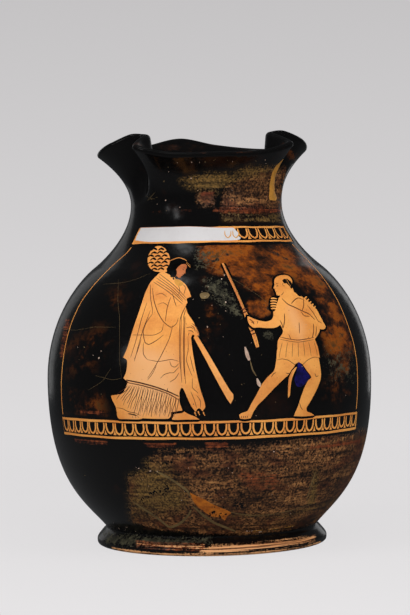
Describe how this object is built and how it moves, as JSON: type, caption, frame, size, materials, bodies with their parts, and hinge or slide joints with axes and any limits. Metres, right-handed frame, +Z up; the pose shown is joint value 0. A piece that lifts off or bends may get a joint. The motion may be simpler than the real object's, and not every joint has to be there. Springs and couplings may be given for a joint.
{
  "type": "oinochoe",
  "caption": "Round-bellied clay pouring jug with a trefoil mouth, a strap handle and a ring foot, red-figure panel on black gloss.",
  "frame": {"origin": "centre of the ring foot's resting plane, on the axis of the body", "axes": "+Z up along the axis, -Y towards the spout, +Y towards the handle, +X to the right when the spout points at the viewer"},
  "size_m": [0.185, 0.1854, 0.2343],
  "materials": {
    "glazed_clay": "worn black gloss over orange clay, with reserved orange figures and ornament bands and a brown misfired area"
  },
  "bodies": {
    "root": {"jug": "glazed_clay"}
  },
  "joints": []
}
